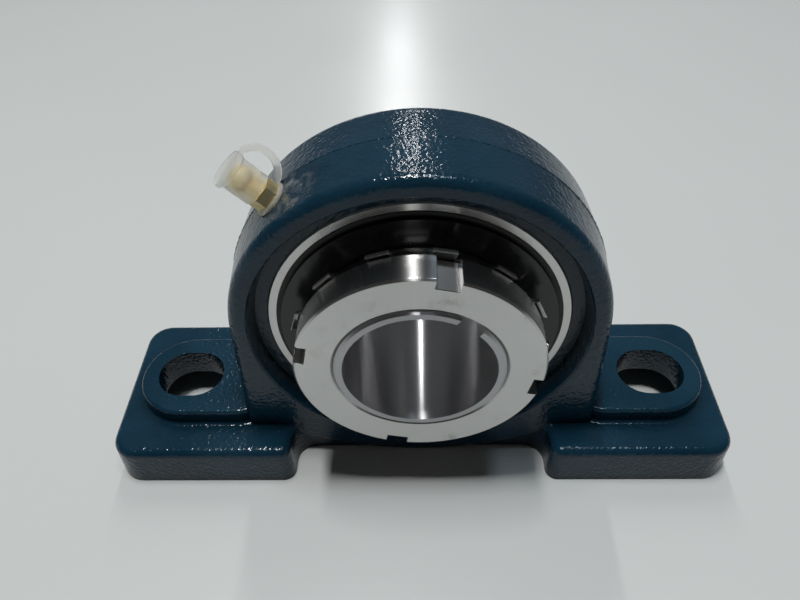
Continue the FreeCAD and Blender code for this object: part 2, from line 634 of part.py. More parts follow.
def lock_washer():
    body = new_body("lock_washer")
    rim = WASHER_RIM_R
    turned(body, "section", (
        (f"-{WASHER_FRONT}", WASHER_BORE_R),
        (f"-{WASHER_BACK}", WASHER_BORE_R),
        (f"-{WASHER_BACK}", rim),
        (f"-{WASHER_FRONT}", rim),
    ))
    lean = "tab_length * sin(tab_slope)"
    reach = "tab_length * cos(tab_slope)"
    root = f"({WASHER_RIM_R} - washer_thickness)"
    tab = new_sketch(body, "tab", "YZ_Plane")
    outline(tab, (
        (f"-{WASHER_BACK}", root),
        (f"-{WASHER_BACK}", rim),
        (f"-({WASHER_BACK} + {lean})", f"{rim} + {reach}"),
        (f"-({WASHER_FRONT} + {lean})", f"{rim} + {reach}"),
        (f"-{WASHER_FRONT}", rim),
        (f"-{WASHER_FRONT}", root),
    ))
    tab_pad = padded(body, tab, "tab_pad", "tab_width", symmetric=True)
    patterned(body, tab_pad, "tabs", "tab_count")
    key = front_sketch(body, "key", WASHER_BACK, "sleeve_slot_angle - tab_angle")
    half = "(sleeve_slot_width / 2 - key_side_gap)"
    rectangle(key, f"-{half}", f"{WASHER_BORE_R} - key_depth", half, f"{WASHER_BORE_R} + washer_thickness")
    padded(body, key, "key_pad", "washer_thickness")
    turn_with(body, "tab_angle")
    return body


def turn_with(body, angle_text):
    """Turns a body clockwise about the shaft, as the front shows it."""
    turn = FreeCAD.Rotation(FreeCAD.Vector(0, 1, 0), value(angle_text))
    body.Placement = FreeCAD.Placement(FreeCAD.Vector(), turn)
    bind(body, "Placement.Rotation.Angle", angle_text)


def lock_nut():
    body = new_body("lock_nut")
    bore_r = f"({THREAD_FIT_R} + press_gap)"
    turned(body, "section", (
        (f"-{NUT_FRONT}", f"{bore_r} + nut_bore_chamfer"),
        (f"-{NUT_FRONT} + nut_bore_chamfer", bore_r),
        (f"-{WASHER_FRONT}", bore_r),
        (f"-{WASHER_FRONT}", NUT_BACK_R),
        (f"-({WASHER_FRONT} + nut_back_chamfer)", NUT_R),
        (f"-{NUT_FRONT} + nut_edge", NUT_R),
        (f"-{NUT_FRONT}", f"{NUT_R} - nut_edge"),
    ))
    slot = front_sketch(body, "slot", NUT_FRONT)
    half = "nut_slot_width / 2"
    rectangle(slot, f"-{half}", f"{NUT_R} - nut_slot_depth", half, f"{NUT_R} + nut_slot_depth")
    slot_cut = pocketed(body, slot, "slot_cut", "nut_thickness")
    patterned(body, slot_cut, "slots", "nut_slot_count")
    turn_with(body, "nut_slot_angle")
    return body


def foot_form(side):
    """One foot as a solid of its own: drafted block, rounded top, raised pad."""
    body = new_body("foot_right_form" if side > 0 else "foot_left_form")
    block = new_sketch(body, "block", "XY_Plane")
    bind(block, "AttachmentOffset.Base.z", BASE)
    corners = (
        (f"{FOOT_INNER_X} - {FOOT_ROOT}", f"-{WEB_HALF}", FOOT_ROOT, -1),
        (FOOT_INNER_X, f"-({WEB_HALF} + {FOOT_ROOT})"),
        (FOOT_INNER_X, f"-({FOOT_HALF} - foot_inner_corner)", "foot_inner_corner", 1),
        (f"{FOOT_INNER_X} + foot_inner_corner", f"-{FOOT_HALF}"),
        (f"{FOOT_OUTER_X} - foot_corner", f"-{FOOT_HALF}", "foot_corner", 1),
        (FOOT_OUTER_X, f"-({FOOT_HALF} - foot_corner)"),
        (FOOT_OUTER_X, f"{FOOT_HALF} - foot_corner", "foot_corner", 1),
        (f"{FOOT_OUTER_X} - foot_corner", FOOT_HALF),
        (f"{FOOT_INNER_X} + foot_inner_corner", FOOT_HALF, "foot_inner_corner", 1),
        (FOOT_INNER_X, f"{FOOT_HALF} - foot_inner_corner"),
        (FOOT_INNER_X, f"{WEB_HALF} + {FOOT_ROOT}", FOOT_ROOT, -1),
        (f"{FOOT_INNER_X} - {FOOT_ROOT}", WEB_HALF),
    )
    outline(block, sided(side, corners))
    padded(body, block, "block_pad", "foot_height", draft_text="foot_draft")
    foot_top = value(FOOT_TOP)
    root_middle = value(f"{FOOT_INNER_X} - {FOOT_ROOT} / 2")
    rounded(body, "block_round", "foot_round", lambda edge: at_height(edge, foot_top)
            and abs(edge.CenterOfMass.x) > root_middle)
    pad = new_sketch(body, "pad", "XY_Plane")
    bind(pad, "AttachmentOffset.Base.z", f"{BASE} + foot_height / 2")
    pad_start = f"({FOOT_INNER_X} + {FOOT_ROOT})"
    corners = (
        (pad_start, f"-({WEB_HALF} - pad_root)"),
        (f"{WEB_FOOT_X} + pad_root", f"-{PAD_HALF}"),
        (f"{PAD_OUTER_X} - {PAD_HALF}", f"-{PAD_HALF}", PAD_HALF, 1),
        (f"{PAD_OUTER_X} - {PAD_HALF}", PAD_HALF),
        (f"{WEB_FOOT_X} + pad_root", PAD_HALF),
        (pad_start, f"{WEB_HALF} - pad_root"),
    )
    outline(pad, sided(side, corners))
    padded(body, pad, "pad_pad", "pad_rise + foot_height / 2", draft_text="casting_draft")
    pad_top = value(PAD_TOP)
    rounded(body, "pad_top_round", "pad_round", lambda edge: at_height(edge, pad_top))
    inner_line = value(f"{pad_start} + pad_root")
    rounded(body, "pad_root_round", "pad_root", lambda edge: at_height(edge, foot_top)
            and abs(edge.CenterOfMass.x) > inner_line
            and within(edge, 0, value(PAD_OUTER_X), value(PAD_HALF)))
    return body


def sided(side, corners):
    """The outline's corners as they are, or mirrored to the left."""
    if side > 0:
        return corners
    return tuple((f"-({corner[0]})", corner[1]) if len(corner) == 2
                 else (f"-({corner[0]})", corner[1], corner[2], -corner[3]) for corner in corners)


def housing():
    body = new_body("housing")
    add_underside(body)
    add_barrel(body)
    add_feet(body)
    cut_bore(body)
    cut_bolt_slots(body)
    cut_cores(body)
    cut_grease_hole(body)
    return body


def add_barrel(body):
    """The barrel and the webs below it, whose sides leave the barrel as tangents."""
    tangent = f"(acos({BARREL_R} / sqrt({WEB_FOOT_X} ^ 2 + {WEB_LOW} ^ 2)) + atan({WEB_LOW} / {WEB_FOOT_X}))"
    side, level = f"{BARREL_R} * cos({tangent})", f"{BARREL_R} * sin({tangent})"
    barrel = front_sketch(body, "barrel")
    outline(barrel, (
        (f"-{side}", level),
        (f"-{WEB_FOOT_X}", WEB_LOW),
        (WEB_FOOT_X, WEB_LOW),
        (side, level, BARREL_R, 1),
        ("0", BARREL_R, BARREL_R, 1),
    ))
    pad = padded(body, barrel, "barrel_pad", BARREL_HALF, draft_text="casting_draft")
    pad.SideType = "Two sides"
    bind(pad, "Length2", BARREL_HALF)
    bind(pad, "TaperAngle2", "-casting_draft")
    foot_top = value(FOOT_TOP)
    rounded(body, "barrel_edges", "barrel_round", lambda edge: on_faces(edge, value(BARREL_HALF))
            and edge.BoundBox.ZMax > foot_top + EDGE_SLACK)


def add_underside(body):
    """The arch between the feet, with the casting behind it."""
    arch = front_sketch(body, "apron")
    outline(arch, (
        (f"-{APRON_HALF}", FOOT_TOP),
        (f"-{APRON_HALF}", APRON_LOW, "apron_radius", 1),
        (APRON_HALF, APRON_LOW),
        (APRON_HALF, FOOT_TOP),
    ))
    padded(body, arch, "apron_pad", f"2 * {BARREL_HALF}", symmetric=True)
    apron_low = value(APRON_LOW)
    rounded(body, "apron_edges", "apron_round", lambda edge: on_faces(edge, value(BARREL_HALF))
            and edge.BoundBox.ZMin < apron_low - EDGE_SLACK)
    block = front_sketch(body, "root")
    rectangle(block, f"-{APRON_HALF}", UNDERSIDE, APRON_HALF, WEB_LOW)
    padded(body, block, "root_pad", f"2 * {WEB_HALF}", symmetric=True)


def add_feet(body):
    feet = [foot_form(1), foot_form(-1)]
    doc.recompute()
    joined = body.newObject("PartDesign::Boolean", "housing_feet")
    joined.setObjects(feet)
    joined.Type = "Fuse"
    body.Tip = joined


def cut_bore(body):
    """Counterbores, the spherical seat with its grease groove, and the loading notches."""
    groove_near = "(grease_groove_place - grease_groove_width / 2)"
    groove_far = "(grease_groove_place + grease_groove_width / 2)"

    def seat_r(place):
        return f"sqrt({SEAT_R} ^ 2 - {place} ^ 2)"

    beyond = f"({BARREL_HALF} + bore_edge)"
    turned(body, "bore", (
        (f"-{beyond}", "0"),
        (beyond, "0"),
        (beyond, f"{COUNTERBORE_R} + 2 * bore_edge"),
        (f"{BARREL_HALF} - bore_edge", COUNTERBORE_R),
        (SEAT_HALF, COUNTERBORE_FLOOR_R),
        (SEAT_HALF, seat_r(SEAT_HALF), SEAT_R, 1),
        (f"-{groove_near}", seat_r(groove_near)),
        (f"-{groove_near}", f"{seat_r(groove_near)} + grease_groove_depth"),
        (f"-{groove_far}", f"{seat_r(groove_near)} + grease_groove_depth"),
        (f"-{groove_far}", seat_r(groove_far), SEAT_R, 1),
        (f"-{SEAT_HALF}", seat_r(SEAT_HALF)),
        (f"-{SEAT_HALF}", COUNTERBORE_FLOOR_R),
        (f"-{BARREL_HALF} + bore_edge", COUNTERBORE_R),
        (f"-{beyond}", f"{COUNTERBORE_R} + 2 * bore_edge"),
    ), cut=True)
    notch_half = "((outer_ring_width + notch_gap) / 2)"
    notch_x = f"sqrt({SEAT_R} ^ 2 - {notch_half} ^ 2)"
    notch = front_sketch(body, "notch")
    outline(notch, (
        (f"-{notch_x}", f"-{notch_half}"),
        (notch_x, f"-{notch_half}", SEAT_R, 1),
        (notch_x, notch_half),
        (f"-{notch_x}", notch_half, SEAT_R, 1),
    ))
    pocketed(body, notch, "notch_cut", f"2 * {BARREL_HALF}")


def cut_bolt_slots(body):
    for name, centre in (("right_slot", "bolt_spacing / 2"), ("left_slot", "-bolt_spacing / 2")):
        slot = new_sketch(body, name, "XY_Plane")
        bind(slot, "AttachmentOffset.Base.z", PAD_TOP)
        rounded_slot(slot, centre, "slot_length", "slot_width")
        pocketed(body, slot, f"{name}_cut", "pad_rise + 2 * foot_height")


def cut_cores(body):
    """The hollow under each foot, open to the base."""
    near_end = f"({FOOT_INNER_X} + core_inner_wall)"
    far = f"({FOOT_OUTER_X} - core_wall)"
    deep = f"({FOOT_HALF} - core_wall)"
    corners = (
        (f"{near_end} + core_corner", f"-{deep}"),
        (f"{far} - core_corner", f"-{deep}", "core_corner", 1),
        (far, f"-{deep} + core_corner"),
        (far, f"{deep} - core_corner", "core_corner", 1),
        (f"{far} - core_corner", deep),
        (f"{near_end} + core_corner", deep, "core_corner", 1),
        (near_end, f"{deep} - core_corner"),
        (near_end, f"-{deep} + core_corner", "core_corner", 1),
    )
    for side, name in ((1, "right_core"), (-1, "left_core")):
        core = new_sketch(body, name, "XY_Plane")
        bind(core, "AttachmentOffset.Base.z", BASE)
        outline(core, sided(side, corners))
        pocketed(body, core, f"{name}_cut", "core_height", back=True)


def cut_grease_hole(body):
    """A spot face on the barrel and a hole from it into the grease groove."""
    for name, radius, depth, outward in (
        ("spot_face", "spot_face_dia / 2", "barrel_round", True),
        ("grease_hole", "shank_dia / 2 + shank_gap", f"{FITTING_SEAT} - {SEAT_R}", False),
    ):
        hole = new_sketch(body, name, "XY_Plane")
        turn = FreeCAD.Rotation(FreeCAD.Vector(0, 1, 0), value("fitting_angle"))
        hole.AttachmentOffset = FreeCAD.Placement(FreeCAD.Vector(), turn)
        bind(hole, "AttachmentOffset.Base.x", f"{FITTING_SEAT} * sin(fitting_angle)")
        bind(hole, "AttachmentOffset.Base.y", "-fitting_place")
        bind(hole, "AttachmentOffset.Base.z", f"{FITTING_SEAT} * cos(fitting_angle)")
        bind(hole, "AttachmentOffset.Rotation.Angle", "fitting_angle")
        circle_at(hole, "0", "0", radius)
        pocketed(body, hole, f"{name}_cut", depth, back=outward)


def stand_on_barrel(body, turn_text="0"):
    """Stands a body made about its own Z axis on the barrel, where the grease fitting sits."""
    lean = "create(<<rotation>>; create(<<vector>>; 0; 1; 0); fitting_angle)"
    turn = f"create(<<rotation>>; create(<<vector>>; 0; 0; 1); {turn_text})"
    seat = "create(<<vector>>; 0; -fitting_place; 0)"
    bind(body, "Placement", f"create(<<placement>>; {seat}; {lean} * {turn})")


def grease_fitting():
    body = new_body("grease_fitting")
    bore = "chamber_dia / 2"
    head_r = "head_dia / 2"
    top_r = f"sqrt(({head_r}) ^ 2 - head_flat ^ 2)"
    neck_rise = f"sqrt(({head_r}) ^ 2 - (neck_dia / 2) ^ 2)"
    turned_upright(body, "section", (
        ("mouth_dia / 2", SHANK_END),
        ("shank_dia / 2", SHANK_END),
        ("shank_dia / 2", HEX_TOP),
        ("neck_dia / 2", f"{HEX_TOP} + shank_dia / 2 - neck_dia / 2"),
        ("neck_dia / 2", f"{HEAD_CENTRE} - {neck_rise}", head_r, 1),
        (top_r, HEAD_TOP),
        ("mouth_dia / 2", HEAD_TOP),
        ("mouth_dia / 2", f"{VALVE_SEAT} + {bore} - mouth_dia / 2"),
        (bore, VALVE_SEAT),
        (bore, SPRING_SEAT),
        ("mouth_dia / 2", SPRING_SEAT),
    ))
    hexagon = new_sketch(body, "hexagon", "XY_Plane")
    bind(hexagon, "AttachmentOffset.Base.z", HEX_BOTTOM)
    corner_r = "hex_width / 2 / cos(30)"
    outline(hexagon, [(f"{corner_r} * cos({60 * step + 30})", f"{corner_r} * sin({60 * step + 30})")
                      for step in range(6)])
    circle_at(hexagon, "0", "0", "shank_dia / 2 - press_gap")
    padded(body, hexagon, "hexagon_pad", "hex_height")
    stand_on_barrel(body)
    return body


def check_ball():
    item = doc.addObject("Part::Sphere", "fitting_check_ball")
    item.Label = "fitting_check_ball"
    bind(item, "Radius", "check_ball_dia / 2")
    bind(item, "Placement.Base.x", f"{CHECK_BALL_PLACE} * sin(fitting_angle)")
    bind(item, "Placement.Base.y", "-fitting_place")
    bind(item, "Placement.Base.z", f"{CHECK_BALL_PLACE} * cos(fitting_angle)")
    return item


def fitting_spring():
    """A coil spring that stands under the check ball."""
    body = new_body("fitting_spring")
    wire = new_sketch(body, "wire", "XZ_Plane")
    circle_at(wire, "spring_dia / 2", SPRING_START, "spring_wire / 2")
    coil = body.newObject("PartDesign::AdditiveHelix", "fitting_spring_coil")
    coil.Profile = wire
    coil.ReferenceAxis = (wire, ["V_Axis"])
    coil.Mode = 0
    bind(coil, "Pitch", "spring_pitch")
    bind(coil, "Height", "spring_length")
    stand_on_barrel(body)
    return body


def dust_cap():
    body = new_body("dust_cap")
    flange = "(cap_flange_dia / 2)"
    turned_upright(body, "section", (
        (CAP_BORE_R, CAP_START),
        (CAP_OUTER_R, CAP_START),
        (CAP_OUTER_R, f"{CAP_END} - cap_flange_height - {flange} + {CAP_OUTER_R}"),
        (flange, f"{CAP_END} - cap_flange_height"),
        (flange, f"{CAP_END} - cap_edge"),
        (f"{flange} - cap_edge", CAP_END),
        ("0", CAP_END),
        ("0", CAP_CEILING),
        (CAP_BORE_R, CAP_CEILING),
    ))
    stand_on_barrel(body)
    return body


def cap_strap():
    """A flat loop beside the cap, with a ring that the hexagon holds down."""
    body = new_body("cap_strap")
    inner_r = "(strap_radius - strap_width / 2)"
    outer_r = "(strap_radius + strap_width / 2)"
    middle = f"({FITTING_SEAT} + spot_face_depth + strap_clearance + {outer_r})"
    ring_inner = "(shank_dia / 2 + shank_gap)"

    def place(radius, angle):
        return f"strap_place + {radius} * cos({angle})", f"{middle} + {radius} * sin({angle})"

    turned_upright(body, "ring", (
        (ring_inner, FITTING_SEAT),
        (f"{ring_inner} + strap_ring_wall", FITTING_SEAT),
        (f"{ring_inner} + strap_ring_wall", HEX_BOTTOM),
        (ring_inner, HEX_BOTTOM),
    ))
    root_in = f"({ring_inner} + strap_ring_wall - press_gap)"
    loop = new_sketch(body, "loop", "XZ_Plane")
    outline(loop, (
        (f"{root_in} - strap_root", f"{FITTING_SEAT} + strap_root_rise"),
        ("spot_face_dia / 2 - press_gap", f"{FITTING_SEAT} + strap_root_rise"),
        (*place(outer_r, "strap_start_angle"), outer_r, 1),
        place(outer_r, "strap_end_angle"),
        (*place(inner_r, "strap_end_angle"), inner_r, -1),
        place(inner_r, "strap_start_angle"),
    ))
    padded(body, loop, "loop_pad", "strap_thickness", symmetric=True)
    stand_on_barrel(body, "strap_turn_angle")
    return body


def broken_objects():
    return [item.Name for item in doc.Objects if {"Invalid", "Error"} & set(item.State)]


def build():
    pieces = [housing(), outer_ring(), inner_ring()]
    pieces += [ball(number) for number in range(1, round(value("ball_count")) + 1)]
    pieces += [cage_half("cage_front", -1), cage_half("cage_rear", 1), cage_rivets()]
    pieces += [seal("seal_front", -1), seal("seal_rear", 1)]
    pieces += [slinger("slinger_front", -1), slinger("slinger_rear", 1)]
    pieces += [adapter_sleeve(), lock_washer(), lock_nut()]
    pieces += [grease_fitting(), check_ball(), fitting_spring(), dust_cap(), cap_strap()]
    doc.recompute()
    return pieces


def export(pieces):
    failed = broken_objects()
    if failed:
        raise RuntimeError(f"these objects failed: {failed}")
    for piece in pieces:
        if piece.Shape.isNull() or not piece.Shape.isValid() or not piece.Shape.Solids:
            raise RuntimeError(f"{piece.Label} has no valid solid")
    os.makedirs("parts", exist_ok=True)
    for piece in pieces:
        piece.Shape.exportStep(f"parts/{piece.Label}.step")
        print(f"{piece.Label}: {len(piece.Shape.Solids)} solid(s), {piece.Shape.Volume:.1f} mm3")


export(build())
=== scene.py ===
import bpy
import bmesh
import math
import random
from mathutils import Matrix, Vector
from mathutils.bvhtree import BVHTree


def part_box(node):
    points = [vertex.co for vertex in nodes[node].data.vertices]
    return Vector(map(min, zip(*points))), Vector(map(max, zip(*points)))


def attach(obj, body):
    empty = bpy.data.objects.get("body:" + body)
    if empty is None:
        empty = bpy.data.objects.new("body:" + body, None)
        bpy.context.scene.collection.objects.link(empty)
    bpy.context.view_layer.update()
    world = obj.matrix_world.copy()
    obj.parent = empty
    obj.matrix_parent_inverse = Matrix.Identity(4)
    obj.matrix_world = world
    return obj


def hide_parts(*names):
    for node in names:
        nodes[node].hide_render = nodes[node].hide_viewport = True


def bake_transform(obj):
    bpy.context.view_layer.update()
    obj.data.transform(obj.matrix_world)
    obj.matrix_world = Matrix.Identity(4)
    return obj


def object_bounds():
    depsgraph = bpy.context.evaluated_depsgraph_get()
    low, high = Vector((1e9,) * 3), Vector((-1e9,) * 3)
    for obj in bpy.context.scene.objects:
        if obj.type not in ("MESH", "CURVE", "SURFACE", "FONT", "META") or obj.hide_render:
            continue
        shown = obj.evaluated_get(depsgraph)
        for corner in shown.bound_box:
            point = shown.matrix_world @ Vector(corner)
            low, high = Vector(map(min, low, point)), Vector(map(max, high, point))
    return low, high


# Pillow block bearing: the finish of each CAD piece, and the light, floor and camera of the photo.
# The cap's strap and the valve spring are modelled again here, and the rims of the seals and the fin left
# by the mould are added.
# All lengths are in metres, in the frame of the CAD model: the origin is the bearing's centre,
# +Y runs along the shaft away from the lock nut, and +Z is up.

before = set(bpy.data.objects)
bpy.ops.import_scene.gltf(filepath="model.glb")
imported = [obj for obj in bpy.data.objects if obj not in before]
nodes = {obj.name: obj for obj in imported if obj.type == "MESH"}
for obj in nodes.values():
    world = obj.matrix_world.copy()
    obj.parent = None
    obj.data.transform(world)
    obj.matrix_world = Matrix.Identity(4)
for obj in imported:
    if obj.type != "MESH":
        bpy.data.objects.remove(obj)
cad_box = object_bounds()

MM = 0.001
FLOOR_Z = cad_box[0].z
CASTING_TOP_Z = cad_box[1].z


# Places read from the frame

nut_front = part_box("lock_nut")[0].y
ring_low, ring_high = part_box("outer_ring")
check_low, check_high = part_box("fitting_check_ball")

CHECK_CENTRE = (check_low + check_high) / 2
CHECK_R = (check_high.x - check_low.x) / 2
FITTING_AXIS = Vector((CHECK_CENTRE.x, 0, CHECK_CENTRE.z)).normalized()
FITTING_CLOCKWISE = Vector((FITTING_AXIS.z, 0, -FITTING_AXIS.x))
FITTING_ORIGIN = Vector((0, CHECK_CENTRE.y, 0))

# Distances from the shaft axis, along the grease fitting
FITTING_ROOT = 51.75 * MM
NIPPLE_HEAD = 58.5 * MM


def fitting_point(out, side=0.0, forward=0.0):
    """A point at a distance from the shaft axis along the fitting, moved clockwise and forward."""
    return FITTING_ORIGIN + FITTING_AXIS * out + FITTING_CLOCKWISE * side - Vector((0, forward, 0))


# Shader helpers

MIX_FIRST_COLOUR = 6
MIX_SECOND_COLOUR = 7
MIX_COLOUR_OUT = 2


def new_tree(name):
    """A new material with a Principled shader. Returns the material, its tree and the shader."""
    material = bpy.data.materials.new(name)
    material.use_nodes = True
    tree = material.node_tree
    return material, tree, tree.nodes["Principled BSDF"]


def put(tree, value, socket):
    """Links an output to the socket, or sets the socket to a plain value."""
    if isinstance(value, bpy.types.NodeSocket):
        tree.links.new(value, socket)
    else:
        socket.default_value = value


def add(tree, kind, **settings):
    node = tree.nodes.new(kind)
    for name, value in settings.items():
        setattr(node, name, value)
    return node


def math_node(tree, operation, first, second=0.0):
    node = add(tree, "ShaderNodeMath", operation=operation)
    put(tree, first, node.inputs[0])
    put(tree, second, node.inputs[1])
    return node.outputs[0]


def plus(tree, first, second):
    return math_node(tree, "ADD", first, second)


def times(tree, first, second):
    return math_node(tree, "MULTIPLY", first, second)


def object_point(tree):
    """The point on the piece, in its own frame."""
    return add(tree, "ShaderNodeTexCoord").outputs["Object"]


def axes(tree, vector):
    """The x, y and z of a vector."""
    node = add(tree, "ShaderNodeSeparateXYZ")
    put(tree, vector, node.inputs[0])
    return node.outputs


def noise(tree, vector, scale, detail=2.0, roughness=0.5):
    """Soft random values from 0 to 1, in patches of about 1 / scale metres."""
    node = add(tree, "ShaderNodeTexNoise")
    put(tree, vector, node.inputs["Vector"])
    node.inputs["Scale"].default_value = scale
    node.inputs["Detail"].default_value = detail
    node.inputs["Roughness"].default_value = roughness
    return node.outputs["Fac"]


def spread(tree, value, low, high, out_low=0.0, out_high=1.0):
    """Maps low..high to out_low..out_high smoothly, and holds the ends."""
    node = add(tree, "ShaderNodeMapRange", interpolation_type="SMOOTHSTEP")
    put(tree, value, node.inputs["Value"])
    node.inputs["From Min"].default_value = low
    node.inputs["From Max"].default_value = high
    node.inputs["To Min"].default_value = out_low
    node.inputs["To Max"].default_value = out_high
    return node.outputs["Result"]


def blended(tree, factor, first, second, blend_type="MIX"):
    """A colour between two colours or outputs."""
    node = add(tree, "ShaderNodeMix", data_type="RGBA", blend_type=blend_type)
    put(tree, factor, node.inputs["Factor"])
    put(tree, first, node.inputs[MIX_FIRST_COLOUR])
    put(tree, second, node.inputs[MIX_SECOND_COLOUR])
    return node.outputs[MIX_COLOUR_OUT]


def bumped(tree, height, distance, edge=0.0):
    """Relief on the surface. With an edge radius, sharp edges also catch light as rounded ones do."""
    node = add(tree, "ShaderNodeBump")
    put(tree, height, node.inputs["Height"])
    node.inputs["Distance"].default_value = distance
    if edge:
        bevel = add(tree, "ShaderNodeBevel", samples=6)
        bevel.inputs["Radius"].default_value = edge
        put(tree, bevel.outputs[0], node.inputs["Normal"])
    return node.outputs[0]


def shaft_radius(tree, x, z):
    """The distance from the shaft axis."""
    return math_node(tree, "SQRT", plus(tree, times(tree, x, x), times(tree, z, z)))


def distance_to(tree, point, where):
    node = add(tree, "ShaderNodeVectorMath", operation="DISTANCE")
    put(tree, point, node.inputs[0])
    node.inputs[1].default_value = where
    return node.outputs["Value"]


# The housing's paint

PAINT_DEEP = (0.0045, 0.026, 0.046, 1)
PAINT_LIGHT = (0.0080, 0.036, 0.062, 1)
PAINT_IOR = 1.39
PAINT_GLOSS = (0.12, 0.18)
BARE_IRON = (0.28, 0.28, 0.27, 1)
SEAT_R = 43.2 * MM
SEAT_HALF_WIDTH = 10.5 * MM
SEAT_EDGE = 0.3 * MM
# Painted shade: how far the occlusion looks, and how dark it makes the paint in crevices and recesses
PAINTED_SHADE_REACH = 8 * MM
PAINTED_SHADE_DARKEST = 0.15

SMEAR = (0.30, 0.31, 0.31, 1)
SMEAR_STRENGTH = 0.5
SMEAR_PLACE = fitting_point(FITTING_ROOT - 1.2 * MM, side=7.5 * MM, forward=3.0 * MM)
SMEAR_R = 9 * MM
SMEAR_CORE_R = 2 * MM

FLAW_PLACE = (-23.3 * MM, -1.4 * MM, 46.4 * MM)
FLAW_R = 5 * MM
FLAW_CORE_R = 2 * MM

CAST_RELIEF = 0.20 * MM
COARSE_SHARE = 0.45


def bare_seat(tree, point):
    """One in the machined seat of the bearing, and nought on the paint."""
    x, y, z = axes(tree, point)
    depth = math_node(tree, "ABSOLUTE", y)
    inside = spread(tree, shaft_radius(tree, x, z), SEAT_R, SEAT_R - SEAT_EDGE)
    return times(tree, inside, spread(tree, depth, SEAT_HALF_WIDTH, SEAT_HALF_WIDTH - SEAT_EDGE))


def paint_colour(tree, point, seat):
    """Dark blue, with painted shade darkening it in the crevices, a grey smear by the grease fitting and a
    bare seat.
    """
    patches = spread(tree, noise(tree, point, scale=45.0, detail=3.0), 0.35, 0.65)
    colour = blended(tree, patches, PAINT_DEEP, PAINT_LIGHT)
    # Painted shade: ambient occlusion darkens the paint's colour in crevices and recesses
    occlusion = add(tree, "ShaderNodeAmbientOcclusion", samples=6)
    occlusion.inputs["Distance"].default_value = PAINTED_SHADE_REACH
    painted_shade = spread(tree, occlusion.outputs["AO"], 0.35, 0.95, PAINTED_SHADE_DARKEST, 1.0)
    colour = blended(tree, 1.0, colour, painted_shade, "MULTIPLY")

    near = spread(tree, distance_to(tree, point, SMEAR_PLACE), SMEAR_R, SMEAR_CORE_R)
    smear = times(tree, near, spread(tree, noise(tree, point, scale=380.0, detail=4.0), 0.45, 0.75))
    colour = blended(tree, times(tree, smear, SMEAR_STRENGTH), colour, SMEAR)
    return blended(tree, seat, colour, BARE_IRON)


def paint_relief(tree, point, seat):
    """The sand casting's texture under the paint, rougher at the small flaw in the casting."""
    fine = noise(tree, point, scale=900.0, detail=1.0)
    coarse = noise(tree, point, scale=300.0, detail=1.0)
    flaw = spread(tree, distance_to(tree, point, FLAW_PLACE), FLAW_R, FLAW_CORE_R)
    relief = plus(tree, fine, times(tree, coarse, COARSE_SHARE))
    relief = plus(tree, relief, times(tree, flaw, noise(tree, point, scale=1100.0)))
    painted = spread(tree, seat, 0.0, 1.0, 1.0, 0.0)
    return times(tree, relief, painted)


def paint_material():
    """Glossy enamel over a sand casting, with bare metal in the bearing's seat."""
    material, tree, shader = new_tree("cast_enamel")
    point = object_point(tree)
    seat = bare_seat(tree, point)
    put(tree, paint_colour(tree, point, seat), shader.inputs["Base Color"])
    put(tree, seat, shader.inputs["Metallic"])
    gloss = spread(tree, noise(tree, point, scale=160.0, detail=3.0), 0.3, 0.7, *PAINT_GLOSS)
    put(tree, gloss, shader.inputs["Roughness"])
    shader.inputs["IOR"].default_value = PAINT_IOR
    put(tree, bumped(tree, paint_relief(tree, point, seat), CAST_RELIEF), shader.inputs["Normal"])
    return material


# Metals, rubber and plastic

SMUDGE = (0.35, 0.33, 0.31, 1)
SMUDGE_ROUGHNESS = 0.08
SHEET_DARKEST = 0.7
SHEET_ROUGHER = 0.12
TURNING_LINES = 5200.0
TURNING_DEPTH = 0.004 * MM
POLISHED_DEPTH = 0.0005 * MM

NUT_SLOT_FLOOR_R = 29.5 * MM
NUT_SLOT_BAND = 0.5 * MM
NUT_FACE_EDGE = 0.3 * MM
NUT_SLOT_ROUGHNESS = 0.40
NUT_EDGE = 0.20 * MM
WASHER_EDGE = 0.30 * MM


def milled_floor(tree, radius, y):
    """One behind the nut's front face at the radius of its slots' floors, and nought elsewhere."""
    fade = 0.2 * MM
    inside = NUT_SLOT_FLOOR_R - NUT_SLOT_BAND
    outside = NUT_SLOT_FLOOR_R + NUT_SLOT_BAND
    above_inside = spread(tree, radius, inside, inside + fade)
    below_outside = spread(tree, radius, outside, outside - fade)
    behind_face = spread(tree, y, nut_front + NUT_FACE_EDGE / 2, nut_front + NUT_FACE_EDGE)
    return times(tree, times(tree, above_inside, below_outside), behind_face)


def turned_steel(name, colour, roughness, wear=0.12, depth=TURNING_DEPTH, anisotropy=0.0,
                 unevenness=0.10, edge=0.0, milled_slots=False):
    """Steel turned on a lathe: fine rings about the shaft axis, and smudges. wear is how dark they are."""
    material, tree, shader = new_tree(name)
    point = object_point(tree)
    x, y, z = axes(tree, point)
    radius = shaft_radius(tree, x, z)
    lines = add(tree, "ShaderNodeTexNoise", noise_dimensions="1D")
    put(tree, plus(tree, radius, y), lines.inputs["W"])
    lines.inputs["Scale"].default_value = TURNING_LINES
    lines.inputs["Detail"].default_value = 2.0

    patches = noise(tree, point, scale=130.0, detail=5.0, roughness=0.6)
    stain = spread(tree, patches, 0.56, 0.74)
    put(tree, blended(tree, times(tree, stain, wear), colour, SMUDGE), shader.inputs["Base Color"])
    rough = plus(tree, roughness, times(tree, patches, unevenness))
    rough = plus(tree, rough, times(tree, stain, SMUDGE_ROUGHNESS))
    if milled_slots:
        rough = plus(tree, rough, times(tree, milled_floor(tree, radius, y), NUT_SLOT_ROUGHNESS))
    put(tree, rough, shader.inputs["Roughness"])
    shader.inputs["Metallic"].default_value = 1.0
    put(tree, bumped(tree, lines.outputs["Fac"], depth, edge), shader.inputs["Normal"])
    if anisotropy:
        shader.inputs["Anisotropic"].default_value = anisotropy
        shader.inputs["Anisotropic Rotation"].default_value = 0.25
        tangent = add(tree, "ShaderNodeTangent", direction_type="RADIAL", axis="Y")
        put(tree, tangent.outputs[0], shader.inputs["Tangent"])
    return material


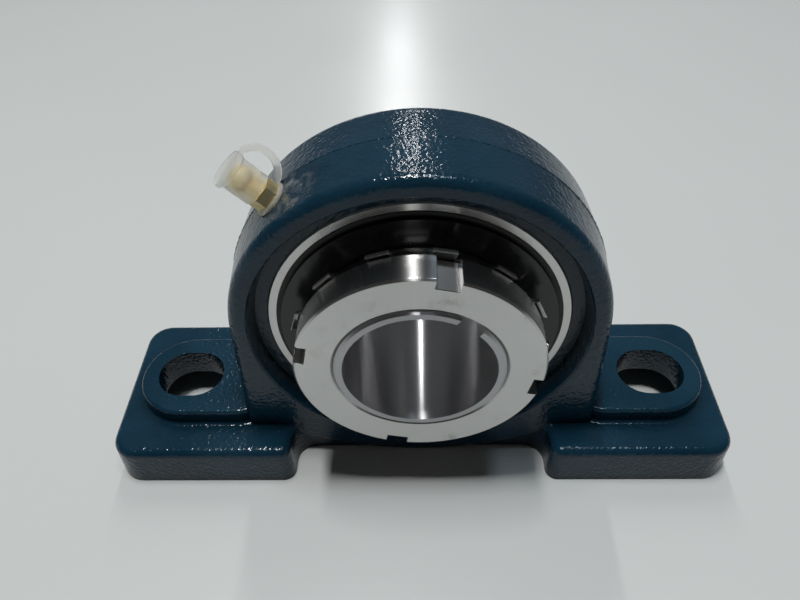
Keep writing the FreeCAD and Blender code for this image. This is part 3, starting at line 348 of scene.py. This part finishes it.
def mottled_material(name, colours, patches, roughness, relief, contrast=None, metallic=0.0, edge=0.0):
    """Two colours in patches, with roughness that follows them, and a fine relief.

    colours are the dark and the light one, patches have a scale and a detail, roughness is the
    least value and what the patches add to it, and relief has a scale, a detail and a depth.
    contrast is the range of the patches over which dark turns to light, and None is all of it.
    """
    material, tree, shader = new_tree(name)
    point = object_point(tree)
    patch_scale, patch_detail = patches
    patch = noise(tree, point, patch_scale, patch_detail, 0.6)
    share = spread(tree, patch, *contrast) if contrast else patch
    put(tree, blended(tree, share, *colours), shader.inputs["Base Color"])
    least, added = roughness
    put(tree, plus(tree, least, times(tree, patch, added)), shader.inputs["Roughness"])
    shader.inputs["Metallic"].default_value = metallic
    relief_scale, relief_detail, depth = relief
    height = noise(tree, point, relief_scale, relief_detail)
    put(tree, bumped(tree, height, depth, edge), shader.inputs["Normal"])
    return material


def sheet_steel(name, colour, roughness, metallic=1.0, edge=0.0):
    """Pressed sheet: a faint mottle and small dents in its surface."""
    darker = tuple(channel * SHEET_DARKEST for channel in colour[:3]) + (1,)
    return mottled_material(name, (darker, colour), patches=(240.0, 5.0),
                            roughness=(roughness, SHEET_ROUGHER), relief=(900.0, 3.0, 0.02 * MM),
                            contrast=(0.35, 0.65), metallic=metallic, edge=edge)


BRASS_DARK = (0.95, 0.76, 0.36, 1)
BRASS_LIGHT = (1.0, 0.88, 0.55, 1)


def brass_material():
    return mottled_material("brass_turned", (BRASS_DARK, BRASS_LIGHT), patches=(600.0, 4.0),
                            roughness=(0.30, 0.15), relief=(3000.0, 2.0, 0.01 * MM),
                            contrast=(0.4, 0.65), metallic=1.0)


RUBBER_DARK = (0.008, 0.008, 0.009, 1)
RUBBER_LIGHT = (0.022, 0.021, 0.020, 1)


def rubber_material():
    return mottled_material("seal_rubber_matt", (RUBBER_DARK, RUBBER_LIGHT), patches=(500.0, 4.0),
                            roughness=(0.45, 0.2), relief=(2600.0, 3.0, 0.02 * MM))


MILKY_DARK = (0.93, 0.92, 0.88, 1)
MILKY_LIGHT = (0.98, 0.98, 0.96, 1)
# Painted show-through: the amber of the brass seen through the cap, painted into the plastic's colour near
# the nipple's head
PAINTED_SHOW_THROUGH = (0.93, 0.80, 0.50, 1)
PAINTED_SHOW_THROUGH_SHARE = 0.45
PAINTED_SHOW_THROUGH_R = 5.5 * MM
PAINTED_SHOW_THROUGH_CORE_R = 3.0 * MM


def plastic_material():
    """Milky polyethylene that lets light through, with the brass behind it painted in as an amber tint
    near the nipple's head.
    """
    material, tree, shader = new_tree("milky_plastic")
    point = object_point(tree)
    patches = noise(tree, point, scale=220.0, detail=3.0)
    milky = blended(tree, patches, MILKY_DARK, MILKY_LIGHT)
    # Painted show-through of the brass, strongest nearest the nipple's head
    head_distance = distance_to(tree, point, fitting_point(NIPPLE_HEAD))
    painted_show_through = spread(tree, head_distance, PAINTED_SHOW_THROUGH_R, PAINTED_SHOW_THROUGH_CORE_R, 0.0, PAINTED_SHOW_THROUGH_SHARE)
    put(tree, blended(tree, painted_show_through, milky, PAINTED_SHOW_THROUGH), shader.inputs["Base Color"])
    put(tree, plus(tree, 0.28, times(tree, patches, 0.12)), shader.inputs["Roughness"])
    shader.inputs["Transmission Weight"].default_value = 0.8
    shader.inputs["Subsurface Weight"].default_value = 0.5
    shader.inputs["Subsurface Radius"].default_value = (1.0, 0.95, 0.85)
    shader.inputs["Subsurface Scale"].default_value = 0.8 * MM
    shader.inputs["IOR"].default_value = 1.2
    waves = noise(tree, point, scale=700.0)
    put(tree, bumped(tree, waves, 0.02 * MM), shader.inputs["Normal"])
    return material


# Dressing the CAD pieces

RING_STEEL = (0.56, 0.555, 0.54, 1)
INNER_RING_STEEL = (0.55, 0.55, 0.54, 1)
SLEEVE_STEEL = (0.44, 0.44, 0.45, 1)
NUT_STEEL = (0.60, 0.60, 0.585, 1)
WASHER_STEEL = (0.60, 0.60, 0.59, 1)
CAGE_STEEL = (0.45, 0.44, 0.42, 1)
SPRING_STEEL = (0.5, 0.5, 0.5, 1)
BALL_STEEL = (0.68, 0.68, 0.68, 1)
BLACK_SHEET = (0.016, 0.016, 0.018, 1)


def make_looks():
    """One material for each finish, under the name of the first piece that has it."""
    return {
        "housing": paint_material(),
        "outer_ring": turned_steel("ground_ring", RING_STEEL, 0.18, anisotropy=0.6),
        "inner_ring": turned_steel("ground_inner_ring", INNER_RING_STEEL, 0.20),
        "slinger_front": sheet_steel("black_slinger", BLACK_SHEET, 0.14, metallic=0.0),
        "adapter_sleeve": turned_steel("turned_sleeve", SLEEVE_STEEL, 0.28, wear=0.05,
                                       anisotropy=1.0, unevenness=0.01),
        "lock_washer": sheet_steel("washer_sheet", WASHER_STEEL, 0.18, edge=WASHER_EDGE),
        "lock_nut": turned_steel("turned_nut", NUT_STEEL, 0.20, wear=0.25, anisotropy=1.0,
                                 unevenness=0.03, edge=NUT_EDGE, milled_slots=True),
        "grease_fitting": brass_material(),
        "fitting_spring": sheet_steel("spring_wire", SPRING_STEEL, 0.25),
        "dust_cap": plastic_material(),
        "ball_1": turned_steel("polished_ball", BALL_STEEL, 0.06, depth=POLISHED_DEPTH),
        "cage_front": sheet_steel("pressed_cage", CAGE_STEEL, 0.3),
        "seal_front": rubber_material(),
    }


SHARED_LOOKS = {
    "slinger_rear": "slinger_front",
    "fitting_check_ball": "ball_1",
    "cage_rear": "cage_front",
    "cage_rivets": "cage_front",
    "seal_rear": "seal_front",
    "cap_strap": "dust_cap",
}


def dress():
    looks = make_looks()
    for name, node in nodes.items():
        source = "ball_1" if name.startswith("ball_") else SHARED_LOOKS.get(name, name)
        node.data.materials[0] = looks[source]


dress()


# Modelled pieces

def around(count):
    """Angles evenly spread over a full turn."""
    return [math.tau * step / count for step in range(count)]


def between(share, low, high):
    return low + (high - low) * share


def round_section(half_width, half_height, corner, count=4):
    """The outline of a rectangle with round corners, as (across, up) pairs."""
    outline = []
    for quarter, (side, level) in enumerate(((1, 1), (-1, 1), (-1, -1), (1, -1))):
        for step in range(count):
            angle = math.radians(90 * (quarter + step / (count - 1)))
            outline.append((side * (half_width - corner) + corner * math.cos(angle),
                            level * (half_height - corner) + corner * math.sin(angle)))
    return outline


def add_tube(mesh, stations, closed=False):
    """Joins rings of points into a tube. An open tube gets flat ends."""
    rings = [[mesh.verts.new(point) for point in station] for station in stations]
    for index in range(len(rings) if closed else len(rings) - 1):
        first = rings[index]
        second = rings[(index + 1) % len(rings)]
        for corner in range(len(first)):
            following = (corner + 1) % len(first)
            mesh.faces.new((first[corner], first[following], second[following], second[corner]))
    if not closed:
        mesh.faces.new(reversed(rings[0]))
        mesh.faces.new(rings[-1])


def new_piece(name, mesh, source):
    """An object from the mesh, smooth shaded, in the material of a CAD node."""
    bmesh.ops.recalc_face_normals(mesh, faces=mesh.faces)
    data = bpy.data.meshes.new(name)
    mesh.to_mesh(data)
    mesh.free()
    data.materials.append(nodes[source].data.materials[0])
    for face in data.polygons:
        face.use_smooth = True
    piece = bpy.data.objects.new(name, data)
    bpy.context.scene.collection.objects.link(piece)
    return piece


# The cap's strap

STRAP_TURN = math.radians(35.5)
STRAP_ASIDE = 2.9 * MM
STRAP_MIDDLE = 58.90 * MM
STRAP_INNER_R = 4.95 * MM
STRAP_OUTER_R = 6.85 * MM
STRAP_HALF_THICKNESS = 0.4 * MM
STRAP_EDGE = 0.25 * MM
STRAP_ANGLES = (-80, 70)
STRAP_TAPERS = (-64, 46)
STRAP_NARROWING = 0.4
STRAP_STEPS = 60
COLLAR_INNER_R = 2.80 * MM
COLLAR_OUTER_R = 4.75 * MM
COLLAR_BOTTOM = 51.42 * MM
COLLAR_STEPS = 48


def collar_stations(aside, across):
    """The flat ring that lies under the fitting's hexagon."""
    half_width = (COLLAR_OUTER_R - COLLAR_INNER_R) / 2
    section = round_section(half_width, STRAP_HALF_THICKNESS, STRAP_EDGE)
    stations = []
    for angle in around(COLLAR_STEPS):
        outward = aside * math.cos(angle) + across * math.sin(angle)
        centre = (FITTING_ORIGIN + outward * (COLLAR_INNER_R + half_width)
                  + FITTING_AXIS * (COLLAR_BOTTOM + STRAP_HALF_THICKNESS))
        stations.append([centre + outward * wide + FITTING_AXIS * high for wide, high in section])
    return stations


def band_stations(aside, across):
    """The flat band that curves from the collar up to the cap's flange, narrower at its two ends."""
    middle = FITTING_ORIGIN + aside * STRAP_ASIDE + FITTING_AXIS * STRAP_MIDDLE
    full = STRAP_OUTER_R - STRAP_INNER_R
    stations = []
    for step in range(STRAP_STEPS + 1):
        degrees = between(step / STRAP_STEPS, *STRAP_ANGLES)
        root = min(1.0, max(0.0, (degrees - STRAP_ANGLES[0]) / (STRAP_TAPERS[0] - STRAP_ANGLES[0])))
        tip = min(1.0, max(0.0, (STRAP_ANGLES[1] - degrees) / (STRAP_ANGLES[1] - STRAP_TAPERS[1])))
        inner = STRAP_INNER_R + full * STRAP_NARROWING * (1 - root)
        outer = STRAP_OUTER_R - full * STRAP_NARROWING * (1 - tip)
        angle = math.radians(degrees)
        outward = aside * math.cos(angle) + FITTING_AXIS * math.sin(angle)
        centre = middle + outward * (inner + outer) / 2
        section = round_section((outer - inner) / 2, STRAP_HALF_THICKNESS, STRAP_EDGE)
        stations.append([centre + outward * wide + across * high for wide, high in section])
    return stations


def strap_piece():
    """A moulded loop that keeps the cap: the collar and the band."""
    aside = FITTING_CLOCKWISE * math.cos(STRAP_TURN) + Vector((0, math.sin(STRAP_TURN), 0))
    across = FITTING_AXIS.cross(aside)
    mesh = bmesh.new()
    add_tube(mesh, collar_stations(aside, across), closed=True)
    add_tube(mesh, band_stations(aside, across))
    piece = new_piece("strap_loop", mesh, "dust_cap")
    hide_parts("cap_strap")
    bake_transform(piece)


# The valve spring

SPRING_R = 1.1 * MM
SPRING_WIRE_R = 0.18 * MM
SPRING_LENGTH = 5.5 * MM
SPRING_TURNS = 6
SPRING_CLOSED_TURNS = 1.0
SPRING_GAP = 0.03 * MM
SPRING_STEPS_PER_TURN = 24
SPRING_WIRE_SIDES = 10


def spring_rise(turn, height):
    """How far the wire has risen after some turns: close together at both ends, open between."""
    closed_rise = 2 * SPRING_WIRE_R
    if turn < SPRING_CLOSED_TURNS:
        return closed_rise * turn
    if turn > SPRING_TURNS - SPRING_CLOSED_TURNS:
        return height - closed_rise * (SPRING_TURNS - turn)
    share = (turn - SPRING_CLOSED_TURNS) / (SPRING_TURNS - 2 * SPRING_CLOSED_TURNS)
    return between(share, closed_rise, height - closed_rise)


def spring_piece():
    """The valve spring under the check ball, with its first and last turns closed up."""
    forward = FITTING_AXIS.cross(FITTING_CLOCKWISE)
    top = math.hypot(CHECK_CENTRE.x, CHECK_CENTRE.z) - CHECK_R - SPRING_WIRE_R - SPRING_GAP
    bottom = top - SPRING_LENGTH + 2 * SPRING_WIRE_R
    stations = []
    for step in range(SPRING_TURNS * SPRING_STEPS_PER_TURN + 1):
        turn = step / SPRING_STEPS_PER_TURN
        outward = FITTING_CLOCKWISE * math.cos(math.tau * turn) + forward * math.sin(math.tau * turn)
        centre = (FITTING_ORIGIN + outward * SPRING_R
                  + FITTING_AXIS * (bottom + spring_rise(turn, top - bottom)))
        wire = [outward * math.cos(angle) + FITTING_AXIS * math.sin(angle)
                for angle in around(SPRING_WIRE_SIDES)]
        stations.append([centre + side * SPRING_WIRE_R for side in wire])
    mesh = bmesh.new()
    add_tube(mesh, stations)
    piece = new_piece("valve_spring_coil", mesh, "fitting_spring")
    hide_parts("fitting_spring")
    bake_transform(piece)


# The rims of the seals

RIM_INNER_R = 36.6 * MM
RIM_OUTER_R = 38.7 * MM
RIM_THICKNESS = 0.3 * MM
RIM_EDGE = 0.12 * MM
RIM_STEPS = 120


def seal_rim(name, middle_y, source):
    """The rim of a rubber seal, which laps over the inner edge of the outer ring's face."""
    half_width = (RIM_OUTER_R - RIM_INNER_R) / 2
    section = round_section(half_width, RIM_THICKNESS / 2, RIM_EDGE)
    stations = []
    for angle in around(RIM_STEPS):
        outward = Vector((math.sin(angle), 0, math.cos(angle)))
        centre = outward * (RIM_INNER_R + half_width) + Vector((0, middle_y, 0))
        stations.append([centre + outward * wide + Vector((0, high, 0)) for wide, high in section])
    mesh = bmesh.new()
    add_tube(mesh, stations, closed=True)
    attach(new_piece(name, mesh, source), "outer_ring")


# The mould's fin

FIN_HALF_WIDTH = 0.42 * MM
FIN_SINK = 0.10 * MM
FIN_HEIGHT = (0.05 * MM, 0.20 * MM)
FIN_LIMIT_DEGREES = 96
FIN_STEPS_PER_DEGREE = 2
FIN_FITTING_GAP = 7.0 * MM
FIN_SHORTEST_STEPS = 8
FIN_SEED = 11
OUTSIDE_CASTING = 120 * MM


def fin_station(skin, angle, height):
    """Three points across the fin at one angle, or None where the casting has no skin for it."""
    outward = Vector((math.sin(angle), 0, math.cos(angle)))
    hits = [skin.ray_cast(outward * OUTSIDE_CASTING + Vector((0, side * FIN_HALF_WIDTH, 0)), -outward)
            for side in (-1, 0, 1)]
    if any(hit[0] is None for hit in hits):
        return None
    front, middle, back = (hit[0] for hit in hits)
    normal = hits[1][1]
    if (middle - fitting_point(FITTING_ROOT)).length <= FIN_FITTING_GAP:
        return None
    crest = middle + normal * height
    crest.z = min(crest.z, CASTING_TOP_Z)
    return [front - normal * FIN_SINK, crest, back - normal * FIN_SINK]


def fin_pieces():
    """The thin rough fin that the mould's joint left along the middle of the casting."""
    casting = nodes["housing"].data
    skin = BVHTree.FromPolygons([vertex.co for vertex in casting.vertices],
                                [face.vertices[:] for face in casting.polygons])
    source = random.Random(FIN_SEED)
    limit = FIN_LIMIT_DEGREES * FIN_STEPS_PER_DEGREE
    runs = [[]]
    for step in range(-limit, limit + 1):
        angle = math.radians(step / FIN_STEPS_PER_DEGREE)
        station = fin_station(skin, angle, source.uniform(*FIN_HEIGHT))
        if station is None:
            runs.append([])
        else:
            runs[-1].append(station)
    long_runs = [run for run in runs if len(run) > FIN_SHORTEST_STEPS]
    for index, stations in enumerate(long_runs, 1):
        mesh = bmesh.new()
        add_tube(mesh, stations)
        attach(new_piece(f"casting_fin_{index}", mesh, "housing"), "housing")


strap_piece()
spring_piece()
seal_rim("seal_rim_front", ring_low.y - RIM_THICKNESS / 2, "seal_front")
seal_rim("seal_rim_rear", ring_high.y + RIM_THICKNESS / 2, "seal_rear")
fin_pieces()


# Floor, room and lamps

FLOOR_SIZE = 8.0
FLOOR_DARK = (0.60, 0.625, 0.61, 1)
FLOOR_LIGHT = (0.66, 0.675, 0.66, 1)
FLOOR_GLOSS = (0.21, 0.26)

ROOM_FRONT = (0.036, 0.035, 0.034, 1)
ROOM_BACK = (0.130, 0.133, 0.140, 1)
ROOM_TURN = (-0.1, 0.7)
BACKDROP = (0.52, 0.54, 0.54, 1)

LAMP_HEIGHT = 1.75
WHITE = (1, 1, 1)
BLUISH = (0.72, 0.86, 1)

# Name, place along x and y, size along x and y, watts and colour
LAMPS = (
    ("ceiling_row", (-0.08, 2.65), (0.05, 3.3), 24, WHITE),
    ("lamp_above", (-0.13, -0.055), (0.12, 0.26), 15, WHITE),
    ("lamp_tail", (-0.13, 0.22), (0.12, 0.29), 6, WHITE),
    ("lamp_right", (0.36, 0.0), (0.20, 0.30), 3.5, BLUISH),
)


def floor_material():
    material, tree, shader = new_tree("table_top")
    point = object_point(tree)
    tone = noise(tree, point, scale=3.0, detail=3.0)
    put(tree, blended(tree, tone, FLOOR_DARK, FLOOR_LIGHT), shader.inputs["Base Color"])
    gloss = spread(tree, noise(tree, point, scale=8.0, detail=1.0), 0.3, 0.7, *FLOOR_GLOSS)
    put(tree, gloss, shader.inputs["Roughness"])
    return material


def make_floor():
    bpy.ops.mesh.primitive_plane_add(size=FLOOR_SIZE, location=(0, 0, FLOOR_Z))
    floor = bpy.context.object
    floor.name = "floor"
    floor.data.materials.append(floor_material())


def make_room():
    """A dim room, lighter behind the part. The camera sees an even backdrop in its place."""
    world = bpy.data.worlds.new("room")
    world.use_nodes = True
    tree = world.node_tree
    background = tree.nodes["Background"]
    direction = add(tree, "ShaderNodeTexCoord").outputs["Generated"]
    behind = spread(tree, axes(tree, direction)["Y"], *ROOM_TURN)
    room = blended(tree, behind, ROOM_FRONT, ROOM_BACK)
    ray = add(tree, "ShaderNodeLightPath").outputs
    seen = math_node(tree, "MAXIMUM", ray["Is Camera Ray"], ray["Is Transmission Ray"])
    put(tree, blended(tree, seen, room, BACKDROP), background.inputs["Color"])
    background.inputs["Strength"].default_value = 1.0
    bpy.context.scene.world = world


def make_lamp(name, position, size, watts, colour):
    """A level rectangular lamp that shines straight down."""
    lamp = bpy.data.lights.new(name, "AREA")
    lamp.shape = "RECTANGLE"
    lamp.size, lamp.size_y = size
    lamp.energy = watts
    lamp.color = colour
    item = bpy.data.objects.new(name, lamp)
    item.location = (*position, LAMP_HEIGHT)
    bpy.context.scene.collection.objects.link(item)


# The camera of the photo

CAMERA_PLACE = (-1.05 * MM, -139.53 * MM, 138.26 * MM)
CAMERA_PITCH = 45.08
CAMERA_YAW = -1.79
CAMERA_ROLL = -1.75
FOCAL_PIXELS = 692.26
PHOTO_WIDTH = 800
SENSOR_WIDTH = 36.0
CLIP_START = 0.01


def make_camera():
    pitch, yaw, roll = (math.radians(angle) for angle in (CAMERA_PITCH, CAMERA_YAW, CAMERA_ROLL))
    forward = Vector((math.sin(yaw) * math.cos(pitch), math.cos(yaw) * math.cos(pitch), -math.sin(pitch)))
    right = Vector((math.cos(yaw), -math.sin(yaw), 0))
    up = right.cross(forward)
    right_rolled = right * math.cos(roll) + up * math.sin(roll)
    up_rolled = up * math.cos(roll) - right * math.sin(roll)
    camera = bpy.data.cameras.new("camera")
    camera.sensor_width = SENSOR_WIDTH
    camera.lens = SENSOR_WIDTH * FOCAL_PIXELS / PHOTO_WIDTH
    camera.clip_start = CLIP_START
    item = bpy.data.objects.new("camera", camera)
    bpy.context.scene.collection.objects.link(item)
    turn = Matrix((right_rolled, up_rolled, -forward)).transposed()
    item.matrix_world = Matrix.Translation(CAMERA_PLACE) @ turn.to_4x4()
    bpy.context.scene.camera = item


make_floor()
make_room()
for name, position, size, watts, colour in LAMPS:
    make_lamp(name, position, size, watts, colour)
make_camera()

bpy.context.scene.view_settings.view_transform = "Standard"
